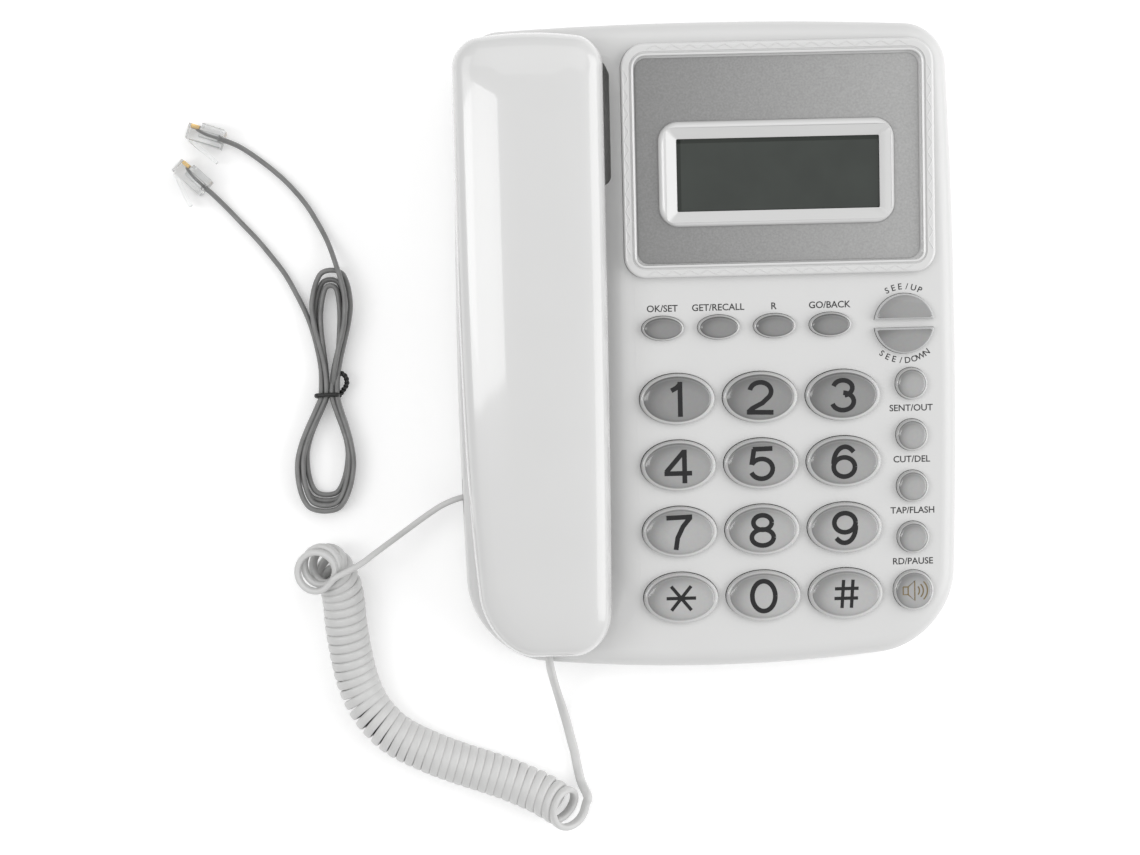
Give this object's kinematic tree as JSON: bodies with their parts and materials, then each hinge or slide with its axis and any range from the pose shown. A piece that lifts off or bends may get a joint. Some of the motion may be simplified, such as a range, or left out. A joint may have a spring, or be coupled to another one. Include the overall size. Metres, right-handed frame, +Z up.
{
  "type": "corded desk telephone",
  "caption": "Wedge-shaped desk telephone with a raised display, oval clear keys, a handset in its cradle, a curly handset cord and a separate flat line cord in a hank.",
  "frame": {"origin": "on the surface that the feet stand on, under the middle of the telephone's own outline, without its cords", "axes": "+X to the right as a caller faces the keypad, +Y towards the rear, +Z up"},
  "size_m": [0.262, 0.2677, 0.062],
  "materials": {
    "white_gloss": "polished ABS",
    "white_satin": "fine spark texture",
    "silver_film": "fine silver speckle",
    "lcd_window": "clear pane over a dark display",
    "lcd_module": "polished",
    "clear_key": "clear cap over a silver print",
    "grey_rubber": "matte",
    "circuit_board": "solder mask",
    "black_plastic": "satin",
    "bright_steel": "zinc plated",
    "clear_plug": "clear polycarbonate",
    "curly_cord": "satin PVC",
    "line_cord": "satin PVC",
    "tie_black": "matte"
  },
  "bodies": {
    "base": {"base_top_cover": "white_gloss", "base_bottom_cover": "white_satin", "display_frame": "white_gloss", "display_panel": "silver_film", "lcd_window": "lcd_window", "lcd_module": "lcd_module", "key_membrane": "grey_rubber", "main_board": "circuit_board", "cord_plug_base": "clear_plug", "hook_switch": "black_plastic", "loudspeaker": "black_plastic", "base_microphone": "bright_steel", "handset_jack": "black_plastic", "line_jack": "black_plastic", "rubber_foot_1": "grey_rubber", "rubber_foot_2": "grey_rubber", "rubber_foot_3": "grey_rubber", "rubber_foot_4": "grey_rubber", "base_screw_1": "bright_steel", "base_screw_2": "bright_steel", "cord_coil": "curly_cord", "cord_lead_base": "curly_cord", "line_cord_lead_1": "line_cord", "line_cord_lead_2": "line_cord", "line_cord_hank": "line_cord", "line_cord_tie": "tie_black", "line_plug_1": "clear_plug", "line_plug_2": "clear_plug"},
    "handset": {"handset_back_cover": "white_gloss", "handset_front_cover": "white_gloss", "earpiece_capsule": "black_plastic", "handset_microphone": "bright_steel", "handset_weight": "bright_steel", "handset_cord_jack": "black_plastic", "cord_plug_handset": "clear_plug", "cord_lead_handset": "curly_cord"},
    "hook_plunger": {"hook_plunger": "white_gloss"},
    "key_1": {"key_1": "clear_key"},
    "key_2": {"key_2": "clear_key"},
    "key_3": {"key_3": "clear_key"},
    "key_4": {"key_4": "clear_key"},
    "key_5": {"key_5": "clear_key"},
    "key_6": {"key_6": "clear_key"},
    "key_7": {"key_7": "clear_key"},
    "key_8": {"key_8": "clear_key"},
    "key_9": {"key_9": "clear_key"},
    "key_star": {"key_star": "clear_key"},
    "key_0": {"key_0": "clear_key"},
    "key_hash": {"key_hash": "clear_key"},
    "set_key": {"set_key": "clear_key"},
    "recall_key": {"recall_key": "clear_key"},
    "register_key": {"register_key": "clear_key"},
    "back_key": {"back_key": "clear_key"},
    "up_key": {"up_key": "clear_key"},
    "down_key": {"down_key": "clear_key"},
    "out_key": {"out_key": "clear_key"},
    "delete_key": {"delete_key": "clear_key"},
    "flash_key": {"flash_key": "clear_key"},
    "redial_key": {"redial_key": "clear_key"},
    "speaker_key": {"speaker_key": "clear_key"}
  },
  "joints": [
    {"name": "handset_lift", "type": "slide", "parent": "base", "child": "handset", "axis": [0, -0.1045, 0.9945], "range_m": [0, 0.06]},
    {"name": "hook_travel", "type": "slide", "parent": "base", "child": "hook_plunger", "axis": [0, -0.1045, 0.9945], "range_m": [0, 0.004]},
    {"name": "key_1_press", "type": "slide", "parent": "base", "child": "key_1", "axis": [0, 0.1045, -0.9945], "range_m": [0, 0.0013], "stiffness_N_per_m": 300},
    {"name": "key_2_press", "type": "slide", "parent": "base", "child": "key_2", "axis": [0, 0.1045, -0.9945], "range_m": [0, 0.0013], "stiffness_N_per_m": 300},
    {"name": "key_3_press", "type": "slide", "parent": "base", "child": "key_3", "axis": [0, 0.1045, -0.9945], "range_m": [0, 0.0013], "stiffness_N_per_m": 300},
    {"name": "key_4_press", "type": "slide", "parent": "base", "child": "key_4", "axis": [0, 0.1045, -0.9945], "range_m": [0, 0.0013], "stiffness_N_per_m": 300},
    {"name": "key_5_press", "type": "slide", "parent": "base", "child": "key_5", "axis": [0, 0.1045, -0.9945], "range_m": [0, 0.0013], "stiffness_N_per_m": 300},
    {"name": "key_6_press", "type": "slide", "parent": "base", "child": "key_6", "axis": [0, 0.1045, -0.9945], "range_m": [0, 0.0013], "stiffness_N_per_m": 300},
    {"name": "key_7_press", "type": "slide", "parent": "base", "child": "key_7", "axis": [0, 0.1045, -0.9945], "range_m": [0, 0.0013], "stiffness_N_per_m": 300},
    {"name": "key_8_press", "type": "slide", "parent": "base", "child": "key_8", "axis": [0, 0.1045, -0.9945], "range_m": [0, 0.0013], "stiffness_N_per_m": 300},
    {"name": "key_9_press", "type": "slide", "parent": "base", "child": "key_9", "axis": [0, 0.1045, -0.9945], "range_m": [0, 0.0013], "stiffness_N_per_m": 300},
    {"name": "key_star_press", "type": "slide", "parent": "base", "child": "key_star", "axis": [0, 0.1045, -0.9945], "range_m": [0, 0.0013], "stiffness_N_per_m": 300},
    {"name": "key_0_press", "type": "slide", "parent": "base", "child": "key_0", "axis": [0, 0.1045, -0.9945], "range_m": [0, 0.0013], "stiffness_N_per_m": 300},
    {"name": "key_hash_press", "type": "slide", "parent": "base", "child": "key_hash", "axis": [0, 0.1045, -0.9945], "range_m": [0, 0.0013], "stiffness_N_per_m": 300},
    {"name": "set_key_press", "type": "slide", "parent": "base", "child": "set_key", "axis": [0, 0.1045, -0.9945], "range_m": [0, 0.0013], "stiffness_N_per_m": 300},
    {"name": "recall_key_press", "type": "slide", "parent": "base", "child": "recall_key", "axis": [0, 0.1045, -0.9945], "range_m": [0, 0.0013], "stiffness_N_per_m": 300},
    {"name": "register_key_press", "type": "slide", "parent": "base", "child": "register_key", "axis": [0, 0.1045, -0.9945], "range_m": [0, 0.0013], "stiffness_N_per_m": 300},
    {"name": "back_key_press", "type": "slide", "parent": "base", "child": "back_key", "axis": [0, 0.1045, -0.9945], "range_m": [0, 0.0013], "stiffness_N_per_m": 300},
    {"name": "up_key_press", "type": "slide", "parent": "base", "child": "up_key", "axis": [0, 0.1045, -0.9945], "range_m": [0, 0.0013], "stiffness_N_per_m": 300},
    {"name": "down_key_press", "type": "slide", "parent": "base", "child": "down_key", "axis": [0, 0.1045, -0.9945], "range_m": [0, 0.0013], "stiffness_N_per_m": 300},
    {"name": "out_key_press", "type": "slide", "parent": "base", "child": "out_key", "axis": [0, 0.1045, -0.9945], "range_m": [0, 0.0013], "stiffness_N_per_m": 300},
    {"name": "delete_key_press", "type": "slide", "parent": "base", "child": "delete_key", "axis": [0, 0.1045, -0.9945], "range_m": [0, 0.0013], "stiffness_N_per_m": 300},
    {"name": "flash_key_press", "type": "slide", "parent": "base", "child": "flash_key", "axis": [0, 0.1045, -0.9945], "range_m": [0, 0.0013], "stiffness_N_per_m": 300},
    {"name": "redial_key_press", "type": "slide", "parent": "base", "child": "redial_key", "axis": [0, 0.1045, -0.9945], "range_m": [0, 0.0013], "stiffness_N_per_m": 300},
    {"name": "speaker_key_press", "type": "slide", "parent": "base", "child": "speaker_key", "axis": [0, 0.1045, -0.9945], "range_m": [0, 0.0013], "stiffness_N_per_m": 300}
  ],
  "couplings": [
    {"joint": "hook_travel", "follows": "handset_lift", "ratio": 0.066666}
  ]
}
